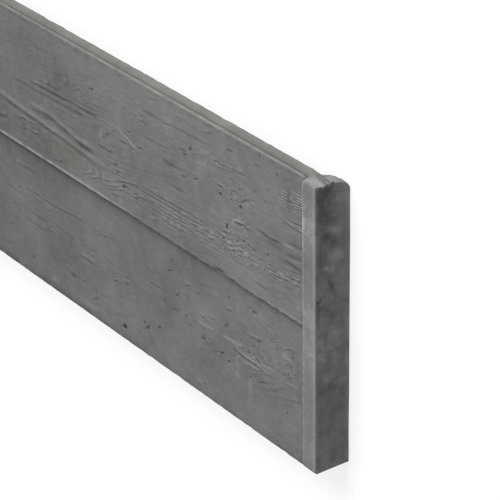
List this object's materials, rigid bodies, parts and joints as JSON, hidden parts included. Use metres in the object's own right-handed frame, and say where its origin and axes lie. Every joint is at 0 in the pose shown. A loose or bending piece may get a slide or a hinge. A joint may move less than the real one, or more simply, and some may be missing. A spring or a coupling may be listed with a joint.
{
  "type": "concrete gravel board",
  "caption": "Cast concrete gravel board with an overlapping-plank face, plain end margins for slotted posts, a beaded top edge and a rebate behind it.",
  "frame": {"origin": "under the middle of the board, on the flat back that it lies on", "axes": "+X along the length, +Y from the bottom edge to the top edge, +Z out of the moulded front"},
  "size_m": [1.84, 0.264, 0.035],
  "materials": {
    "concrete": "cast grey concrete, matt, with a wood-grain face"
  },
  "bodies": {
    "root": {"gravel_board": "concrete"}
  },
  "joints": []
}
